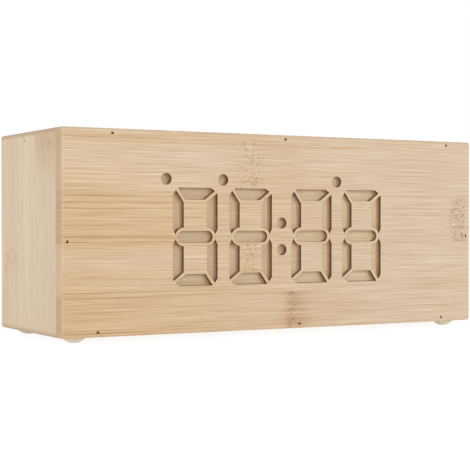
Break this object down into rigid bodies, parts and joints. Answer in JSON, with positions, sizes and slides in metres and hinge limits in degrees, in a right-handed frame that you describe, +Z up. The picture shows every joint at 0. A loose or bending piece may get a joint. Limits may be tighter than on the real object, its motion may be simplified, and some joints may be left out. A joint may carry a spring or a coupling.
{
  "type": "wooden digital alarm clock",
  "caption": "Bamboo box clock with seven-segment digits cut through its front, domed feet, rear push buttons, power inlet and battery door.",
  "frame": {"origin": "on the resting plane, under the middle of the clock's bounding box", "axes": "+X to the right along the front, +Y from the front to the rear, +Z up"},
  "size_m": [0.1726, 0.0588, 0.0721],
  "materials": {
    "bamboo": "satin sanded",
    "block_wood": "rough sawn",
    "brad_steel": "dark, set below the face",
    "clear_rubber": "translucent soft",
    "opal_sheet": "matt opal",
    "white_plastic": "matt moulded",
    "circuit_board": "solder-masked",
    "screw_steel": "zinc plated",
    "black_plastic": "fine grained",
    "contact_nickel": "nickel plated",
    "cell_wrap": "printed sleeve, no print",
    "ribbon": "flat cable"
  },
  "bodies": {
    "casing": {"front_panel": "bamboo", "left_panel": "bamboo", "right_panel": "bamboo", "top_panel": "bamboo", "bottom_panel": "bamboo", "rear_panel": "bamboo", "corner_block_1": "block_wood", "corner_block_2": "block_wood", "corner_block_3": "block_wood", "corner_block_4": "block_wood", "front_brad_top_1": "brad_steel", "front_brad_top_2": "brad_steel", "front_brad_top_3": "brad_steel", "front_brad_bottom_1": "brad_steel", "front_brad_bottom_2": "brad_steel", "front_brad_bottom_3": "brad_steel", "front_brad_left": "brad_steel", "front_brad_right": "brad_steel", "end_brad_left": "brad_steel", "end_brad_right": "brad_steel", "foot_front_left": "clear_rubber", "foot_front_right": "clear_rubber", "foot_rear_left": "clear_rubber", "foot_rear_right": "clear_rubber", "rear_screw_1": "screw_steel", "rear_screw_2": "screw_steel", "rear_screw_3": "screw_steel", "rear_screw_4": "screw_steel", "diffuser": "opal_sheet", "light_mask": "white_plastic", "display_board": "circuit_board", "display_screw_1": "screw_steel", "display_screw_2": "screw_steel", "display_screw_3": "screw_steel", "display_screw_4": "screw_steel", "board_bracket": "white_plastic", "main_board": "circuit_board", "board_screw_1": "screw_steel", "board_screw_2": "screw_steel", "switch_set": "black_plastic", "switch_up": "black_plastic", "switch_down": "black_plastic", "power_socket": "black_plastic", "buzzer": "black_plastic", "ribbon_cable": "ribbon", "battery_case": "black_plastic", "battery_1": "cell_wrap", "battery_2": "cell_wrap", "battery_3": "cell_wrap", "contact_positive": "contact_nickel", "contact_lower_link": "contact_nickel", "contact_upper_link": "contact_nickel", "contact_negative": "contact_nickel"},
    "set_key": {"button_set": "black_plastic", "switch_plunger_set": "black_plastic"},
    "up_key": {"button_up": "black_plastic", "switch_plunger_up": "black_plastic"},
    "down_key": {"button_down": "black_plastic", "switch_plunger_down": "black_plastic"},
    "door": {"battery_door": "black_plastic"}
  },
  "joints": [
    {"name": "set_press", "type": "slide", "parent": "casing", "child": "set_key", "axis": [0, -1, 0], "range_m": [0, 0.0005], "stiffness_N_per_m": 400},
    {"name": "up_press", "type": "slide", "parent": "casing", "child": "up_key", "axis": [0, -1, 0], "range_m": [0, 0.0005], "stiffness_N_per_m": 400},
    {"name": "down_press", "type": "slide", "parent": "casing", "child": "down_key", "axis": [0, -1, 0], "range_m": [0, 0.0005], "stiffness_N_per_m": 400},
    {"name": "door_tip", "type": "hinge", "parent": "casing", "child": "door", "pos_m": [0.03797, 0.0286, 0.01865], "axis": [-1, 0, 0], "range_deg": [0, 75]}
  ]
}
